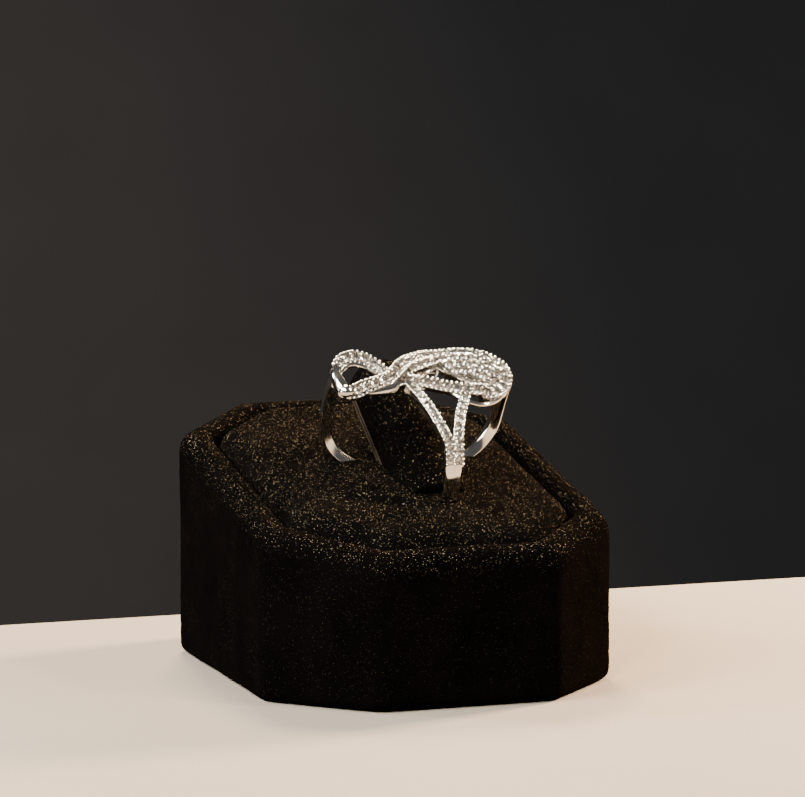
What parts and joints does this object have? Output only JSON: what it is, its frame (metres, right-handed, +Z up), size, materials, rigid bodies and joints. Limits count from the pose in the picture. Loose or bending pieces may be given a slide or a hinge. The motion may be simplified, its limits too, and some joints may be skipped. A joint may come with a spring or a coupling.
{
  "type": "stone-set ring with a looped head, on a velvet display stand",
  "caption": "Polished ring whose paved head loops round like a reclining music note, with a split near leg and a wide far bow, on a wedge-shaped velvet display stand.",
  "frame": {"origin": "centre of the stand's underside, on the table", "axes": "+Z up, -Y towards the viewer at the low front edge of the stand, +X along the finger to the viewer's right"},
  "size_m": [0.047, 0.06, 0.0425],
  "materials": {
    "polished_silver": "polished and plated",
    "clear_stone": "faceted",
    "black_velvet": "short pile",
    "cushion_velvet": "short pile over foam",
    "tongue_velvet": "short pile over a formed core"
  },
  "bodies": {
    "root": {"ring_metal": "polished_silver", "loop_stones": "clear_stone", "crossing_stones": "clear_stone", "crest_stones": "clear_stone", "front_stones": "clear_stone", "leg_stones": "clear_stone", "stand_case": "black_velvet", "stand_cushion": "cushion_velvet", "stand_tongue": "tongue_velvet"}
  },
  "joints": []
}
